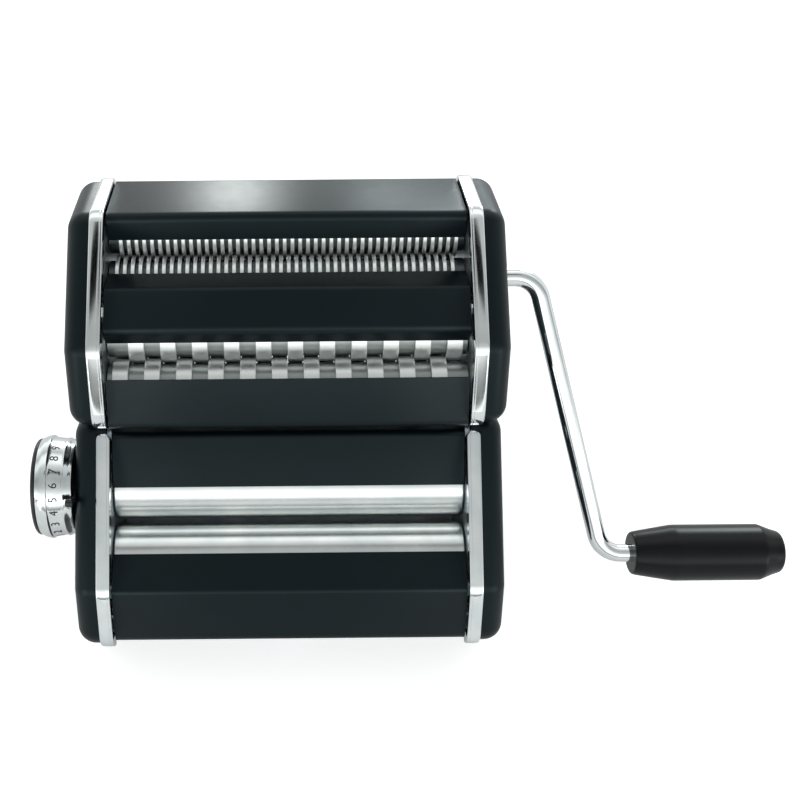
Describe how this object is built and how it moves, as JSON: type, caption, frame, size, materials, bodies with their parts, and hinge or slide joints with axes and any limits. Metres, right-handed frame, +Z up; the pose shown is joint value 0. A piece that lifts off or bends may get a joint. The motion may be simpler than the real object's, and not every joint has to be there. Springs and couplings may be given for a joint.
{
  "type": "pasta roller machine",
  "caption": "Hand-cranked pasta roller with a dial for the roller gap, a lift-off cutter unit with fine and wide cutters, black panels, bright trims and a bent crank with a grip.",
  "frame": {"origin": "on the worktop under the middle of the machine, midway between the side frames", "axes": "+X along the rollers towards the crank, +Y to the back, +Z up"},
  "size_m": [0.3335, 0.1806, 0.1559],
  "materials": {
    "black_body": "satin black lacquer",
    "bright_trim": "polished chrome plate",
    "side_steel": "zinc plated sheet steel",
    "roller_metal": "anodised, fine turned",
    "cutter_metal": "anodised, turned",
    "gear_steel": "machined, oiled",
    "rod_steel": "bright drawn bar",
    "screw_steel": "zinc plated",
    "spring_steel": "drawn wire",
    "black_rubber": "matt",
    "white_nylon": "moulded",
    "knob_chrome": "satin chrome, black numbers",
    "black_cap": "moulded",
    "crank_chrome": "polished chrome plate",
    "grip_plastic": "fine matt texture"
  },
  "bodies": {
    "machine": {"base_plate": "side_steel", "rubber_feet": "black_rubber", "clamp_socket": "side_steel", "left_frame": "side_steel", "right_frame": "side_steel", "left_trim": "bright_trim", "right_trim": "bright_trim", "left_cover": "black_body", "right_cover": "black_body", "front_panel": "black_body", "rear_panel": "black_body", "sheet_deflector": "side_steel", "tie_rods": "rod_steel", "frame_screws": "screw_steel", "cover_screws": "screw_steel", "frame_bushes": "white_nylon", "front_scraper": "white_nylon", "dial_pointer": "black_cap", "hook_sockets": "side_steel"},
    "front_roller": {"front_roller": "roller_metal", "front_gear": "gear_steel"},
    "roller_carriage": {"roller_bushes": "white_nylon", "rear_scraper": "white_nylon"},
    "rear_roller": {"rear_roller": "roller_metal", "rear_gear": "gear_steel"},
    "adjuster": {"adjuster_shaft": "rod_steel", "shaft_screw": "screw_steel", "knob_spring": "spring_steel"},
    "knob": {"adjusting_knob": "knob_chrome", "knob_cap": "black_cap"},
    "cutter_unit": {"cutter_left_frame": "side_steel", "cutter_right_frame": "side_steel", "cutter_left_trim": "bright_trim", "cutter_right_trim": "bright_trim", "cutter_left_cover": "black_body", "cutter_right_cover": "black_body", "cutter_rear_panel": "black_body", "cutter_middle_panel": "black_body", "cutter_front_panel": "black_body", "cutter_tie_rods": "rod_steel", "cutter_frame_screws": "screw_steel", "cutter_cover_screws": "screw_steel", "cutter_bushes": "white_nylon", "wide_combs": "side_steel", "fine_combs": "side_steel", "cutter_hooks": "side_steel"},
    "fine_lower": {"fine_lower_cutter": "cutter_metal", "fine_lower_gear": "gear_steel"},
    "fine_upper": {"fine_upper_cutter": "cutter_metal", "fine_upper_gear": "gear_steel"},
    "wide_lower": {"wide_lower_cutter": "cutter_metal", "wide_lower_gear": "gear_steel"},
    "wide_upper": {"wide_upper_cutter": "cutter_metal", "wide_upper_gear": "gear_steel"},
    "crank": {"crank_rod": "crank_chrome"},
    "grip": {"crank_grip": "grip_plastic"}
  },
  "joints": [
    {"name": "front_roller_spin", "type": "hinge", "parent": "machine", "child": "front_roller", "pos_m": [0, -0.02074, 0.04694], "axis": [1, 0, 0], "continuous": true},
    {"name": "knob_turn", "type": "hinge", "parent": "machine", "child": "adjuster", "pos_m": [0, 0.00639, 0.0621], "axis": [1, 0, 0], "range_deg": [-81.83, 65.46]},
    {"name": "knob_pull", "type": "slide", "parent": "adjuster", "child": "knob", "axis": [-1, 0, 0], "range_m": [0, 0.003], "stiffness_N_per_m": 1200, "springref_m": -0.004, "deforming": ["knob_spring"]},
    {"name": "gap_slide", "type": "slide", "parent": "machine", "child": "roller_carriage", "axis": [0, 0.8572, 0.515], "range_m": [-0.0013, 0.00162]},
    {"name": "rear_roller_spin", "type": "hinge", "parent": "roller_carriage", "child": "rear_roller", "pos_m": [0, 0.00574, 0.06286], "axis": [1, 0, 0], "continuous": true},
    {"name": "cutter_lift", "type": "slide", "parent": "machine", "child": "cutter_unit", "axis": [0, 0, 1], "range_m": [0, 0.06]},
    {"name": "fine_drive", "type": "hinge", "parent": "cutter_unit", "child": "fine_lower", "pos_m": [0, 0.07125, 0.12538], "axis": [1, 0, 0], "continuous": true},
    {"name": "fine_upper_spin", "type": "hinge", "parent": "cutter_unit", "child": "fine_upper", "pos_m": [0, 0.08775, 0.13702], "axis": [1, 0, 0], "continuous": true},
    {"name": "wide_drive", "type": "hinge", "parent": "cutter_unit", "child": "wide_lower", "pos_m": [0, 0.03025, 0.10568], "axis": [1, 0, 0], "continuous": true},
    {"name": "wide_upper_spin", "type": "hinge", "parent": "cutter_unit", "child": "wide_upper", "pos_m": [0, 0.04675, 0.11732], "axis": [1, 0, 0], "continuous": true},
    {"name": "crank_pull", "type": "slide", "parent": "fine_lower", "child": "crank", "axis": [1, 0, 0], "range_m": [0, 0.03]},
    {"name": "grip_spin", "type": "hinge", "parent": "crank", "child": "grip", "pos_m": [0, -0.01375, 0.03196], "axis": [1, 0, 0], "continuous": true}
  ],
  "couplings": [
    {"joint": "knob_turn", "follows": "gap_slide", "rad_per_m": -878.77},
    {"joint": "rear_roller_spin", "follows": "front_roller_spin", "ratio": -1},
    {"joint": "fine_upper_spin", "follows": "fine_drive", "ratio": -1},
    {"joint": "wide_upper_spin", "follows": "wide_drive", "ratio": -1}
  ]
}
